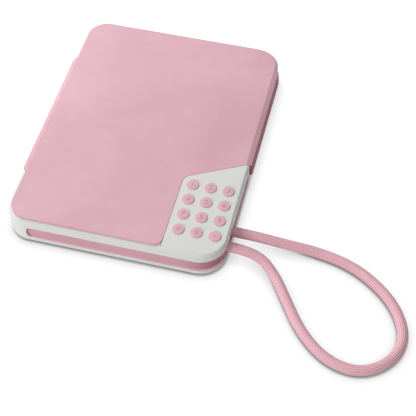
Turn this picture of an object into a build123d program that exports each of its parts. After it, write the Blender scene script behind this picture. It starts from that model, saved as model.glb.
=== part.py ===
from build123d import *
import math
import os

os.makedirs("parts", exist_ok=True)

# Electronic secret diary, closed, standing on its feet. Millimetres.
# X runs to the keypad side, Y to the back, Z up. The origin is on the table under the middle.

# ---- case ----
case_w = 163.6  # over the side walls
case_d = 216.0  # front to back
top_z = 25.0  # closed cover above the table
corner_r = 17.5  # corners on the hinge side
corner_free_r = 20.0  # and on the free side
wall = 2.8
floor_t = 2.4
belly_r = 2.5  # rounded lower edge
foot_drop = 1.0  # how far the feet stand out below
rim_bevel = 1.7  # how far the bevel of the rim comes in

# ---- cover ----
lid_edge = 1.2  # panel thickness at its edge
lid_skin_t = 0.6  # soft skin round the moulded core
lid_inset = 2.5  # panel edge to case wall, where the lips' bevels start
lid_lift = 0.1  # panel over the rim
lid_gap = 0.3  # round the keypad plate
lid_round = 0.5  # softened top edge of the skin
lid_drop = 1.5  # inner tray of the cover, down into the well
lid_drop_inset = 1.5  # inner tray to the well wall
lid_drop_hinge_inset = 4.5  # the same on the hinge side, where the tray swings outwards
lid_drop_bay_gap = 1.0  # inner tray to the bay wall
lid_front_r = 6.5  # corner of the cover beside the keypad seam
shelf_t = 2.5  # shelf in the well's corner under it
lip_bevel = 1.6  # height of the bevel over both lips
throat = 2.0  # inner 45 degree corner of the lips
lip_gap = 0.4  # hinge-side lip to the recessed wall
lip_proud = 0.8  # hinge-side lip beyond the case wall
lip_end = 49.0  # hinge-side lip to the front and back of the case
flap_t = 1.5
flap_gap = 0.5  # free-side flap to the recessed wall
flap_proud = 1.35
flap_lean = 0.9  # its lower edge stands out further by this
flap_depth = 12.5  # flap reaches this far below the top
flap_end = 24.0  # back end of the flap to the back of the case
lip_flare = 3.5  # both lips are wider at the crease
flap_corner = 5.5  # cut across its lower back corner, from the flared end
skin_hem = 9.0  # skin on the hinge-side lip ends this far below the top

# ---- barrel hinge ----
open_clear = 1.0  # the cover lies this far above the table at 180 degrees
hinge_out = 1.2  # hinge axis beyond the case wall
barrel_r = 2.1
barrel_gap = 0.2  # barrel to the recessed wall
pin_r = 1.0
pin_clear = 0.05
knuckle_count = 7  # odd ones on the case, even ones on the cover
knuckle_end = 3.0  # outer knuckles to the ends of the lip
knuckle_gap = 0.4
pin_stop = 1.5  # closed end of the two outer knuckles

# ---- keypad corner ----
plate_t = 2.4
plate_slope = 27.6  # degrees, back edge of the plate
plate_corner_r = 6.5
plate_round = 2.0  # rounded outer edge of the plate
seam = 0.15  # plate to rim
board_reach = 4.4  # board beyond the key centres
key_columns = 3
key_rows = 4
key_pitch_x = 13.5
key_pitch_y = 14.0
key_margin_left = 8.2  # first column to the plate's left edge
key_margin_right = 9.5
key_margin_front = 19.6
key_margin_back = 5.9
bay_wall_in = 1.6  # bay wall under the plate
bay_wall_out = 0.4  # and beyond its edge
spigot_t = 0.8  # rim under the plate that drops into the bay
spigot_h = 1.2
spigot_gap = 0.15

# ---- keys, membrane, board ----
key_r = 4.5
key_clear = 0.08
key_proud = 0.9
key_crown = 0.2  # height of the domed top
key_round = 0.35
key_flange = 0.9  # flange beyond the key
key_flange_t = 1.4
key_slack = 0.1  # flange under the plate
key_travel = 0.8
dome_gap = 0.3  # dome left under a pressed key
dome_r = 4.0
dome_top_r = 2.4
membrane_t = 0.8
dome_h = 0.6
board_t = 1.6
board_margin = 1.0  # board to the bay wall
post_r = 2.4
post_gap = 0.4  # membrane round the posts
screw_r = 1.0
screw_head_r = 1.9
screw_head_t = 1.2
screw_clear = 0.05
screw_bite = 2.6  # thread in a short post

# ---- slot, liner and cord ----
slot_low = 6.1
slot_h = 10.7
slot_from_left = 17.0  # its front end to the hinge-side wall
slot_from_front = 89.0  # its other end to the front wall
slot_depth = 2.0
slot_end_r = 4.0
liner_t = 0.6
liner_setback = 0.15
liner_fit = 0.05
cord_r = 3.75
cord_z = 11.75  # height of its ends
cord_clear = 0.45  # opening round the cord
cord_exits = (36.5, 22.7)  # from the front wall
socket_depth = 3.3
socket_clear = 0.3
anchor_gap = 1.0  # anchor to the cells
anchor_wall = 1.4  # round the sockets
anchor_roof = 0.9

# ---- power ----
cell_count = 3
cell_r = 5.25
cell_len = 44.5
cell_pitch = 10.75
cell_nub_r = 1.9
cell_nub_len = 1.0
cell_side_gap = 0.6  # first cell to the bay wall
cell_lift = 0.1  # over the door
contact_t = 0.5
contact_spring = 1.8  # squeezed spring at each minus end
contact_bump = 0.6  # dimple at each plus end
contact_spring_r = 3.75
contact_cone = 20  # degrees, sides of springs and dimples
contact_h = 8.5
bulkhead_t = 1.5
bulkhead_h = 9.0
contact_gap = 1.0  # between the two contact plates of a pair
bulkhead_front = 6.5  # front bulkhead's front face from the case front
door_t = 1.4
door_ledge = 1.5
door_gap = 0.2
door_corner_r = 2.0
door_tongue = 8.0
door_head_t = 0.8  # low head of the door's screw
door_screw_len = 5.0
door_boss_h = 4.0
door_grip_n = 3
door_grip = (12.0, 1.0, 0.4)
door_grip_pitch = 2.5
tab_w = 6.0
tab_l = 1.5
tab_t = 0.7

# ---- latch ----
bolt_w = 5.0
bolt_h = 3.0
bolt_z = 12.0
bolt_fit = 0.1
bolt_throw = 4.0  # travel into the catch
bolt_len = 12.0
plunger_r = 1.4
plunger_hold = 9.0  # plunger left in the solenoid, bolt thrown
plunger_clear = 0.05
solenoid_w = 11.0
solenoid_h = 9.0
solenoid_l = 17.0
solenoid_frame = 1.0
latch_wall_gap = 5.8  # bolt's middle to the inner side wall
catch_t = 2.0
catch_gap = 1.0  # bolt tip to the catch, bolt drawn back
bolt_gap = 1.0  # bolt to the solenoid, bolt drawn back
bolt_lead = 0.5  # chamfer round the bolt tip
catch_clear = 0.6  # catch to the bay wall
catch_leg = 1.15
catch_window_gap = 0.6  # window round the bolt
catch_foot = 2.0  # bar under the window
catch_base_l = 9.0
catch_base_t = 1.5
catch_screw_bite = 1.6
catch_screw_end = 0.2  # free depth past the tips

# ---- small pieces ----
foot_w = 6.0
foot_l = 14.0
foot_sink = 0.8
foot_side = 5.9  # foot's middle to the side wall
foot_end = 26.0  # and to the front or back wall
root = 0.5  # ribs start this deep in the floor
boss_r = 2.0
boss_stub = 2.0
boss_gap = 0.3  # front boss to the door and the board
boss_back = 14.9  # rear boss behind the cells
head_sink = 0.3  # screw heads below the case's underside
head_gap = 0.2
plate_screw_len = 9.0
buzzer_r = 4.3
buzzer_h = 4.0
buzzer_round = 0.5
buzzer_hole = (0.9, 1.5)  # radius and depth
chip_w = 9.0
chip_t = 1.1

# ---- notebook ----
pad_catch_gap = 1.2  # right-hand edge to the catch
pad_end_gap = 2.7  # front and back edges to the well walls
pad_t = 12.0
pad_cover_t = 0.8
pad_side_gap = 0.6  # spine to the well wall
pad_bay_gap = 1.2  # notch round the bay wall
pad_page_inset = 1.5  # pages inside the cover's edges
pad_corner_r = 6.0
pad_spine_r = 12.0  # corners at the spine, inside the case's corners

# ---- levels and places that follow from them ----
side_x = case_w / 2
end_y = case_d / 2
base_z = foot_drop
floor_z = base_z + floor_t
panel_z = top_z - lid_edge
rim_z = panel_z - lid_lift
seat_z = top_z - plate_t
well_x = side_x - wall
well_y = end_y - wall

hinge_x = -(side_x + hinge_out)
hinge_z = (top_z + open_clear) / 2
recess_x = hinge_x + barrel_r + barrel_gap
lip_inner = recess_x - lip_gap
lip_outer = -(side_x + lip_proud)
flap_outer = side_x + flap_proud
flap_inner = flap_outer - flap_t
flap_bottom = top_z - flap_depth
flap_back = end_y - flap_end
lip_half = end_y - lip_end
hinge_len = 2 * (lip_half - knuckle_end)
knuckle_pitch = hinge_len / knuckle_count

plate_w = key_margin_left + key_pitch_x * (key_columns - 1) + key_margin_right
plate_d = key_margin_front + key_pitch_y * (key_rows - 1) + key_margin_back
plate_left = side_x - plate_w
plate_corner_y = plate_d - end_y
bay_left = plate_left + bay_wall_in
slope = math.radians(plate_slope)

key_bottom = seat_z - key_slack - key_flange_t
dome_top = key_bottom - key_travel - dome_gap
board_top = dome_top - dome_h - membrane_t
board_z = board_top - board_t
hole_r = key_r + key_clear

slot_left = slot_from_left - side_x
slot_back = slot_from_front - end_y
cord_exit_a, cord_exit_b = (y - end_y for y in cord_exits)
cord_mid = (cord_exit_a + cord_exit_b) / 2
cord_apart = cord_exit_a - cord_exit_b
anchor_x = well_x - socket_depth
anchor_half = cord_apart / 2 + cord_r + anchor_wall
anchor_front = cord_mid - anchor_half

cell_z = base_z + door_t + cell_lift + cell_r
first_cell_x = bay_left + cell_side_gap + cell_r
cells_right = first_cell_x + cell_pitch * (cell_count - 1) + cell_r
front_plate_y = bulkhead_front + bulkhead_t - end_y
minus_y = front_plate_y + contact_t + contact_spring
rear_plate_y = minus_y + cell_len + contact_bump
door_left = first_cell_x - cell_r - door_ledge
door_right = cells_right + door_ledge
door_front = front_plate_y - door_ledge
door_back = rear_plate_y + contact_t + door_ledge
door_mid_x = (door_left + door_right) / 2
door_screw_y = door_back + door_tongue / 2

bolt_x = well_x - latch_wall_gap
catch_right = bolt_x + bolt_w / 2 + catch_window_gap + catch_leg
catch_left = 2 * bolt_x - catch_right


def bay_edge(grow, x):
    """Y of the slanted edge of the keypad corner, grown outwards, at x."""
    return plate_corner_y + (x - plate_left) * math.tan(slope) + grow / math.cos(slope)


catch_y = bay_edge(bay_wall_out, catch_right) + catch_clear
bolt_tip = catch_y - catch_gap
bolt_back = bolt_tip - bolt_len
solenoid_front = bolt_back - bolt_gap
plunger_len = bolt_gap + plunger_hold + bolt_throw
solenoid_low = bolt_z - solenoid_h / 2
tray_z = panel_z - lid_drop
tab_z = base_z + door_t - tab_t
tab_places = [door_mid_x + side * cell_pitch for side in (-1, 1)]
catch_screw_places = [
    (bolt_x + side * bolt_w / 2, catch_y + (catch_base_l + catch_t) / 2) for side in (-1, 1)
]
top_align = (Align.CENTER, Align.CENTER, Align.MAX)
screw_align = (Align.CENTER, Align.CENTER, Align.MIN)


# ---- shapes that several pieces share ----
def finish(piece, label):
    """Labels a finished piece and writes its file."""
    piece.part.label = label
    export_step(piece.part, f"parts/{label}.step")


def case_plan(inset):
    """Plan of the case, drawn in by inset."""
    with BuildSketch() as plan:
        Rectangle(case_w - 2 * inset, case_d - 2 * inset)
        fillet(plan.vertices().group_by(Axis.X)[0], corner_r - inset)
        fillet(plan.vertices().group_by(Axis.X)[-1], corner_free_r - inset)
    return plan.sketch


def keypad_corner(grow):
    """Plan of the keypad corner, open to the front and the side, grown outwards."""
    left = plate_left - grow
    with BuildSketch() as plan:
        with BuildLine():
            Polyline(
                (left, -case_d),
                (left, bay_edge(grow, left)),
                (case_w, bay_edge(grow, case_w)),
                (case_w, -case_d),
                close=True,
            )
        make_face()
        inner = plan.vertices().sort_by(Axis.X)[:2].sort_by(Axis.Y)[-1]
        fillet(inner, plate_corner_r + grow)
    return plan.sketch


def bay_plan(inset):
    """Plan of the hollow under the keypad plate, drawn in by inset."""
    with BuildSketch() as plan:
        add(case_plan(wall + inset))
        add(keypad_corner(-bay_wall_in - inset), mode=Mode.INTERSECT)
    return plan.sketch


def well_plan(bay_gap):
    """Plan of the well for the notebook, kept bay_gap away from the bay wall."""
    with BuildSketch() as plan:
        add(case_plan(wall))
        add(keypad_corner(bay_wall_out + bay_gap), mode=Mode.SUBTRACT)
    return plan.sketch


def shelf_plan(grow):
    """Plan of the corner shelf under the cover's rounded front corner."""
    side = 2 * (lid_front_r + grow)
    with BuildSketch() as plan:
        with Locations((plate_left - bay_wall_out, -well_y)):
            Rectangle(side, side, rotation=45)
    return plan.sketch


def wall_band(outer, inner, low, high, shorten, end_r):
    """A strip that follows the front wall round the corner and along the side."""
    with BuildPart() as band:
        with BuildSketch(Plane.XY.offset(low)):
            add(case_plan(outer))
            add(case_plan(inner), mode=Mode.SUBTRACT)
            with BuildLine():
                Polyline(
                    (slot_left + shorten, -case_d),
                    (case_w, -case_d),
                    (case_w, slot_back - shorten),
                    (0, slot_back - shorten),
                    (0, wall - end_y),
                    (slot_left + shorten, wall - end_y),
                    close=True,
                )
            make_face(mode=Mode.INTERSECT)
        extrude(amount=high - low)
        front_end = band.edges().filter_by(Axis.Y).sort_by(Axis.X)[:2]
        side_end = band.edges().filter_by(Axis.X).sort_by(Axis.Y)[-2:]
        fillet(front_end + side_end, end_r)
    return band.part


def lip_section(side, outer, lean, inner, bottom, skin):
    """Section of a lip of the cover, X across and Z up; skin moves its outer faces in."""
    crease = side * (side_x - lid_inset)
    tilt = math.atan2(lip_bevel, abs(outer - crease))
    over = skin * math.tan(tilt / 2)
    down = skin * math.tan(math.pi / 4 - tilt / 2)
    with BuildSketch() as section:
        with BuildLine():
            Polyline(
                (crease - side * over, top_z - skin),
                (outer - side * skin, top_z - lip_bevel - down),
                (outer + side * (lean - skin), bottom),
                (inner, bottom),
                (inner, panel_z - throat),
                (inner - side * throat, panel_z),
                (inner - side * (throat + wall), panel_z),
                (inner - side * (throat + wall), top_z - skin),
                close=True,
            )
        make_face()
    return section.sketch


def lip_plan(outer, edge, front, back, grow):
    """Plan of a lip: full length at the panel's edge, shorter at its outer face."""
    with BuildSketch() as plan:
        with BuildLine():
            Polyline(
                (0, front - lip_flare - grow),
                (edge, front - lip_flare - grow),
                (outer, front - grow),
                (outer, back + grow),
                (edge, back + lip_flare + grow),
                (0, back + lip_flare + grow),
                close=True,
            )
        make_face()
    return plan.sketch


def lip_form(side, skin, hem):
    """One lip of the cover: -1 the hinge side, 1 the free side."""
    if side < 0:
        outer, lean, inner = lip_outer, 0, lip_inner
        front, back, bottom = -lip_half, lip_half, top_z - hem
    else:
        outer, lean, inner = flap_outer, flap_lean, flap_inner
        front, back, bottom = plate_corner_y, flap_back, flap_bottom
    with BuildPart() as lip:
        with BuildSketch(Plane.XZ):
            add(lip_section(side, outer, lean, inner, bottom, skin))
        extrude(amount=end_y, both=True)
        with BuildSketch():
            add(lip_plan(outer + side * lean, side * (side_x - lid_inset), front, back, -skin))
        extrude(amount=top_z, mode=Mode.INTERSECT)
        if side > 0:
            end = back + lip_flare
            with BuildSketch(Plane.YZ):
                with BuildLine():
                    Polyline(
                        (end - flap_corner, bottom),
                        (end, bottom),
                        (end, bottom + flap_corner),
                        close=True,
                    )
                make_face()
            extrude(amount=case_w, mode=Mode.SUBTRACT)
    return lip.part


def lid_form(skin):
    """The cover's panel and lips, with the outer faces drawn in by skin."""
    inset = lid_inset + skin
    with BuildPart() as form:
        with BuildSketch(Plane.XY.offset(panel_z)) as panel:
            add(case_plan(inset))
            add(keypad_corner(lid_gap + skin), mode=Mode.SUBTRACT)
            seam_side = panel.vertices().filter_by_position(
                Axis.X, plate_left - lid_gap - skin - 0.01, plate_left - lid_gap - skin + 0.01
            )
            fillet(seam_side.sort_by(Axis.Y)[0], lid_front_r - skin)
        extrude(amount=lid_edge - skin)
        if skin == 0:
            fillet(form.faces().sort_by(Axis.Z)[-1].edges(), lid_round)
        add(lip_form(-1, skin, skin_hem))
        add(lip_form(1, skin, skin_hem))
        with BuildSketch():
            add(keypad_corner(lid_gap + skin))
        extrude(amount=top_z, mode=Mode.SUBTRACT)
    return form.part


def knuckles(first):
    """Barrels along the hinge axis: first = 0 for the case, 1 for the cover."""
    with BuildPart() as barrels:
        for i in range(first, knuckle_count, 2):
            start = i * knuckle_pitch + knuckle_gap / 2 - hinge_len / 2
            with BuildSketch(Plane.XZ.offset(-start)):
                with Locations((hinge_x, hinge_z)):
                    Circle(barrel_r)
                if first == 0:
                    with Locations((hinge_x, hinge_z)):
                        web = recess_x - hinge_x + wall / 4
                        Rectangle(web, barrel_r, align=(Align.MIN, Align.MAX))
                else:
                    with Locations((lip_outer, hinge_z)):
                        arm = (lip_inner - lip_outer, top_z - skin_hem - hinge_z)
                        Rectangle(*arm, align=(Align.MIN, Align.MIN))
            extrude(amount=-(knuckle_pitch - knuckle_gap))
    return barrels.part


def hinge_rod(radius, length):
    """A round rod on the hinge axis, centred on the case."""
    with BuildPart() as rod:
        with BuildSketch(Plane.XZ.offset(-length / 2)):
            with Locations((hinge_x, hinge_z)):
                Circle(radius)
        extrude(amount=length)
    return rod.part


def screws(places, head_z, length, up=1, head_t=screw_head_t):
    """Pan head screws, their heads' flat sides at head_z; up = -1 points the tips down."""
    with BuildPart() as fasteners:
        with BuildSketch(Plane.XY.offset(head_z)):
            with Locations(*places):
                Circle(screw_head_r)
        extrude(amount=-up * head_t)
        rims = fasteners.edges().group_by(Axis.Z)[0 if up > 0 else -1]
        fillet(rims, head_t / 3)
        with BuildSketch(Plane.XY.offset(head_z)):
            with Locations(*places):
                Circle(screw_r)
        extrude(amount=up * length)
    return fasteners.part


def block(low, high):
    """A box between two corners."""
    size = [high[i] - low[i] for i in range(3)]
    middle = [(high[i] + low[i]) / 2 for i in range(3)]
    return Pos(*middle) * Box(*size, mode=Mode.PRIVATE)


def lip_recess(side, gap):
    """Room in the case wall for a lip of the cover."""
    if side < 0:
        inner, edge, outer = lip_inner, lid_inset - side_x, lip_outer
        front, back, low = -lip_half, lip_half, hinge_z - barrel_r - gap
    else:
        inner, edge, outer = flap_inner, side_x - lid_inset, flap_outer + flap_lean
        front, back, low = plate_corner_y, flap_back, flap_bottom - gap
    face = inner - side * gap
    diagonal = gap * math.sqrt(2)
    with BuildPart() as room:
        with BuildSketch(Plane.XZ):
            with BuildLine():
                Polyline(
                    (face, low),
                    (face, panel_z - throat + gap - diagonal),
                    (inner - side * (throat + diagonal + lid_edge), top_z),
                    (side * case_w, top_z),
                    (side * case_w, low),
                    close=True,
                )
            make_face()
        extrude(amount=end_y, both=True)
        with BuildSketch():
            add(lip_plan(outer, edge, front, back, gap))
            add(keypad_corner(0), mode=Mode.SUBTRACT)
        extrude(amount=top_z, mode=Mode.INTERSECT)
    return room.part


def cord_opening(from_x, to_x):
    """The opening that both ends of the cord pass through."""
    with BuildPart() as opening:
        with BuildSketch(Plane.YZ.offset(from_x)):
            with Locations((cord_mid, cord_z)):
                SlotCenterToCenter(cord_apart, 2 * (cord_r + cord_clear))
        extrude(amount=to_x - from_x)
    return opening.part


def door_plan(inset):
    """Plan of the battery door with its screw tongue, drawn in by inset."""
    width = door_right - door_left - 2 * inset
    depth = door_back - door_front - 2 * inset
    with BuildSketch() as plan:
        with Locations((door_mid_x, (door_front + door_back) / 2)):
            RectangleRounded(width, depth, door_corner_r)
        with Locations((door_mid_x, door_back)):
            RectangleRounded(door_tongue - 2 * inset, 2 * (door_tongue - inset), door_corner_r)
    return plan.sketch


post_places = [
    (plate_left + key_margin_left + key_pitch_x * (i + 0.5), key_margin_front + key_pitch_y * j - end_y)
    for i in (0, 1)
    for j in (0.5, 2.5)
]
key_places = [
    (plate_left + key_margin_left + key_pitch_x * i, key_margin_front + key_pitch_y * j - end_y)
    for j in reversed(range(key_rows))
    for i in range(key_columns)
]
# controller, driver and timing crystal, under the keys 5, 0 and 7; the buzzer under key 1
chips = [
    (key_places[4], chip_w, chip_w),
    (key_places[10], chip_w, chip_w / 2),
    (key_places[6], chip_w, chip_w / 3),
]
buzzer_place = key_places[0]
boss_places = [
    (door_right + boss_gap + boss_r, key_margin_front - board_reach - end_y - boss_gap - boss_r),
    (first_cell_x + 1.6 * cell_pitch, rear_plate_y + boss_back),
]
foot_places = [
    (x * (side_x - foot_side), y * (end_y - foot_end)) for x in (-1, 1) for y in (-1, 1)
]


# ---- case shell ----
with BuildPart() as case_shell:
    with BuildSketch(Plane.XY.offset(base_z)):
        add(case_plan(0))
    extrude(amount=rim_z - base_z)
    fillet(case_shell.edges().group_by(Axis.Z)[0], belly_r)
    rim_face = case_shell.faces().sort_by(Axis.Z)[-1]
    chamfer(rim_face.edges(), rim_bevel, rim_z - seat_z, reference=rim_face)

    # the well for the notebook
    with BuildSketch(Plane.XY.offset(floor_z)):
        add(well_plan(0))
    extrude(amount=rim_z - shelf_t - floor_z, mode=Mode.SUBTRACT)
    with BuildSketch(Plane.XY.offset(rim_z - shelf_t)):
        add(well_plan(0))
        add(shelf_plan(0), mode=Mode.SUBTRACT)
    extrude(amount=top_z, mode=Mode.SUBTRACT)

    # the bay for the electronics, and the seat of the plate
    with BuildSketch(Plane.XY.offset(floor_z)):
        add(bay_plan(0))
    extrude(amount=top_z, mode=Mode.SUBTRACT)
    with BuildSketch(Plane.XY.offset(seat_z)):
        add(keypad_corner(seam))
    extrude(amount=top_z, mode=Mode.SUBTRACT)
    with BuildSketch(Plane.XY.offset(seat_z)):
        add(case_plan(wall))
        add(keypad_corner(bay_wall_out + seam), mode=Mode.INTERSECT)
    extrude(amount=top_z, mode=Mode.SUBTRACT)

    # room for both lips, then the knuckles and their bore
    add(lip_recess(-1, lip_gap), mode=Mode.SUBTRACT)
    add(lip_recess(1, flap_gap), mode=Mode.SUBTRACT)
    add(knuckles(0))
    add(hinge_rod(pin_r + pin_clear, hinge_len - 2 * pin_stop), mode=Mode.SUBTRACT)

    # the slot that wraps the front corner, and the cord's opening
    add(wall_band(-1, slot_depth, slot_low, slot_low + slot_h, 0, slot_end_r), mode=Mode.SUBTRACT)
    add(cord_opening(well_x - wall, side_x + wall), mode=Mode.SUBTRACT)

    # inside the bay: bulkheads, bosses, the solenoid's ledge and the bolt's way out
    for y in (front_plate_y - bulkhead_t, rear_plate_y + contact_t):
        add(
            block(
                (bay_left - wall / 4, y, floor_z - root),
                (cells_right + contact_t, y + bulkhead_t, floor_z + bulkhead_h),
            )
        )
    with BuildSketch(Plane.XY.offset(base_z)):
        with Locations(*boss_places):
            Circle(boss_r)
    extrude(amount=floor_t + boss_stub)
    with BuildSketch(Plane.XY.offset(base_z + door_t)):
        with Locations((door_mid_x, door_screw_y)):
            Circle(boss_r)
    extrude(amount=floor_t - door_t + door_boss_h)
    for y in (solenoid_front - solenoid_l, solenoid_front - 2 * bulkhead_t):
        low = (bolt_x - solenoid_w / 2, y, floor_z - root)
        add(block(low, (bolt_x + solenoid_w / 2, y + 2 * bulkhead_t, solenoid_low)))
    bolt_room = bolt_w / 2 + bolt_fit
    add(
        block(
            (bolt_x - bolt_room, bolt_back, bolt_z - bolt_h / 2 - bolt_fit),
            (bolt_x + bolt_room, catch_y, bolt_z + bolt_h / 2 + bolt_fit),
        ),
        mode=Mode.SUBTRACT,
    )

    # underside: door, feet and screws
    with BuildSketch(Plane.XY.offset(base_z)):
        add(door_plan(0))
    extrude(amount=door_t, mode=Mode.SUBTRACT)
    add(
        block(
            (door_left + door_ledge, door_front + door_ledge, 0),
            (door_right - door_ledge, door_back - door_ledge, floor_z),
        ),
        mode=Mode.SUBTRACT,
    )
    for x in tab_places:
        room = tab_w / 2 + door_gap
        add(
            block(
                (x - room, door_front - tab_l - door_gap, tab_z - door_gap / 2),
                (x + room, door_front + door_gap, tab_z + tab_t + door_gap / 2),
            ),
            mode=Mode.SUBTRACT,
        )
    with BuildSketch(Plane.XY.offset(base_z)):
        with Locations(*foot_places):
            SlotOverall(foot_l, foot_w, rotation=90)
    extrude(amount=foot_sink, mode=Mode.SUBTRACT)
    with BuildSketch(Plane.XY.offset(base_z)):
        with Locations(*boss_places):
            Circle(screw_head_r + head_gap)
    extrude(amount=head_sink + screw_head_t, mode=Mode.SUBTRACT)
    with BuildSketch(Plane.XY.offset(base_z)):
        with Locations(*boss_places):
            Circle(screw_r + screw_clear)
    extrude(amount=floor_t + boss_stub, mode=Mode.SUBTRACT)
    with BuildSketch(Plane.XY.offset(base_z)):
        with Locations((door_mid_x, door_screw_y)):
            Circle(screw_r + screw_clear)
    extrude(amount=door_screw_len + door_head_t + head_gap, mode=Mode.SUBTRACT)

finish(case_shell, "case_shell")


# ---- rubber feet ----
with BuildPart() as rubber_feet:
    with BuildSketch():
        with Locations(*foot_places):
            SlotOverall(foot_l, foot_w, rotation=90)
    extrude(amount=foot_drop + foot_sink)
    fillet(rubber_feet.edges().group_by(Axis.Z)[0], foot_drop / 3)

finish(rubber_feet, "rubber_feet")


# ---- keypad plate ----
with BuildPart() as keypad_plate:
    with BuildSketch(Plane.XY.offset(seat_z)):
        add(case_plan(0))
        add(keypad_corner(0), mode=Mode.INTERSECT)
    extrude(amount=plate_t)
    top_face = keypad_plate.faces().sort_by(Axis.Z)[-1]
    rim = [
        e
        for e in top_face.edges()
        if e.center().X > plate_left + 0.01 and e.center().Y < bay_edge(0, e.center().X) - 1.0
    ]
    fillet(rim, plate_round)
    # rim that drops into the bay
    with BuildSketch(Plane.XY.offset(seat_z)):
        add(bay_plan(spigot_gap))
        add(bay_plan(spigot_gap + spigot_t), mode=Mode.SUBTRACT)
    extrude(amount=-spigot_h)
    with BuildSketch(Plane.XY.offset(seat_z)):
        with Locations(*post_places):
            Circle(post_r)
    extrude(amount=board_top - seat_z)
    with BuildSketch(Plane.XY.offset(seat_z)):
        with Locations(*boss_places):
            Circle(boss_r)
    extrude(amount=floor_z + boss_stub - seat_z)
    # key holes and screw bores
    with BuildSketch(Plane.XY.offset(seat_z - spigot_h)):
        with Locations(*key_places):
            Circle(hole_r)
    extrude(amount=plate_t + spigot_h, mode=Mode.SUBTRACT)
    with BuildSketch(Plane.XY.offset(seat_z)):
        with Locations(*key_places):
            Circle(key_r + key_flange + spigot_gap)
    extrude(amount=-key_slack - key_flange_t - key_travel - spigot_gap, mode=Mode.SUBTRACT)
    with BuildSketch(Plane.XY.offset(board_top)):
        with Locations(*post_places):
            Circle(screw_r + screw_clear)
    extrude(amount=screw_bite + head_gap, mode=Mode.SUBTRACT)
    with BuildSketch(Plane.XY.offset(floor_z + boss_stub)):
        with Locations(*boss_places):
            Circle(screw_r + screw_clear)
    extrude(amount=plate_screw_len, mode=Mode.SUBTRACT)

finish(keypad_plate, "keypad_plate")


# ---- keys ----
key_names = ["1", "2", "3", "4", "5", "6", "7", "8", "9", "hash", "0", "star"]
key_top = top_z + key_proud
for (x, y), name in zip(key_places, key_names):
    with BuildPart() as key:
        with BuildSketch(Plane((x, y, 0), x_dir=(1, 0, 0), z_dir=(0, -1, 0))):
            with BuildLine():
                Polyline(
                    (0, key_top),
                    (0, key_bottom),
                    (key_r + key_flange, key_bottom),
                    (key_r + key_flange, key_bottom + key_flange_t),
                    (key_r, key_bottom + key_flange_t),
                    (key_r, key_top - key_crown),
                )
                RadiusArc(
                    (key_r, key_top - key_crown),
                    (0, key_top),
                    -(key_r**2 + key_crown**2) / (2 * key_crown),
                )
            make_face()
        revolve(axis=Axis((x, y, 0), (0, 0, 1)))
        rings = key.edges().filter_by(lambda e: e.is_closed)
        fillet(rings.sort_by(Axis.Z)[-1], key_round)
    finish(key, f"key_{name}")


# ---- rubber membrane and circuit board ----
with BuildSketch() as board_plan:
    add(bay_plan(board_margin))
    with Locations((plate_left, key_margin_front - end_y - board_reach)):
        depth = key_pitch_y * (key_rows - 1) + 2 * board_reach
        Rectangle(case_w, depth, align=(Align.MIN, Align.MIN), mode=Mode.INTERSECT)

with BuildPart() as key_membrane:
    with BuildSketch(Plane.XY.offset(board_top)):
        add(board_plan.sketch)
        with Locations(*post_places):
            Circle(post_r + post_gap, mode=Mode.SUBTRACT)
    extrude(amount=membrane_t)
    for x, y in key_places:
        with Locations((x, y, board_top + membrane_t + dome_h / 2)):
            Cone(dome_r, dome_top_r, dome_h)

finish(key_membrane, "key_membrane")

with BuildPart() as circuit_board:
    with BuildSketch(Plane.XY.offset(board_z)):
        add(board_plan.sketch)
        with Locations(*post_places):
            Circle(screw_r + screw_clear, mode=Mode.SUBTRACT)
    extrude(amount=board_t)
    for (x, y), width, depth in chips:
        with Locations((x, y, board_z)):
            Box(width, depth, chip_t, align=top_align)

finish(circuit_board, "circuit_board")

with BuildPart() as board_screws:
    add(screws(post_places, board_z, board_t + screw_bite))

finish(board_screws, "board_screws")

with BuildPart() as plate_screws:
    add(screws(boss_places, base_z + head_sink + screw_head_t, plate_screw_len))

finish(plate_screws, "plate_screws")

with BuildPart() as buzzer:
    with BuildSketch(Plane.XY.offset(board_z)):
        with Locations(buzzer_place):
            Circle(buzzer_r)
    extrude(amount=-buzzer_h)
    fillet(buzzer.edges().group_by(Axis.Z)[0], buzzer_round)
    with BuildSketch(Plane.XY.offset(board_z - buzzer_h)):
        with Locations(buzzer_place):
            Circle(buzzer_hole[0])
    extrude(amount=buzzer_hole[1], mode=Mode.SUBTRACT)

finish(buzzer, "buzzer")


# ---- slot liner ----
with BuildPart() as side_liner:
    low = slot_low + liner_fit
    high = slot_low + slot_h - liner_fit
    add(wall_band(liner_setback, slot_depth, low, high, liner_fit, slot_end_r - liner_fit))
    inset = liner_fit + liner_t
    inner_r = slot_end_r - inset
    hollow = wall_band(-1, slot_depth - liner_t, slot_low + inset, slot_low + slot_h - inset, inset, inner_r)
    add(hollow, mode=Mode.SUBTRACT)
    add(cord_opening(well_x, side_x), mode=Mode.SUBTRACT)

finish(side_liner, "side_liner")


# ---- cord and its anchor ----
with BuildPart() as cord_anchor:
    with BuildSketch(Plane.XY.offset(floor_z)):
        with Locations((cells_right + anchor_gap, anchor_front)):
            Rectangle(case_w, 2 * anchor_half, align=(Align.MIN, Align.MIN))
        add(case_plan(wall), mode=Mode.INTERSECT)
    extrude(amount=cord_z + cord_r + anchor_roof - floor_z)
    with BuildSketch(Plane.YZ.offset(anchor_x)):
        with Locations((cord_exit_a, cord_z), (cord_exit_b, cord_z)):
            Circle(cord_r + socket_clear)
    extrude(amount=socket_depth, mode=Mode.SUBTRACT)

finish(cord_anchor, "cord_anchor")

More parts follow.
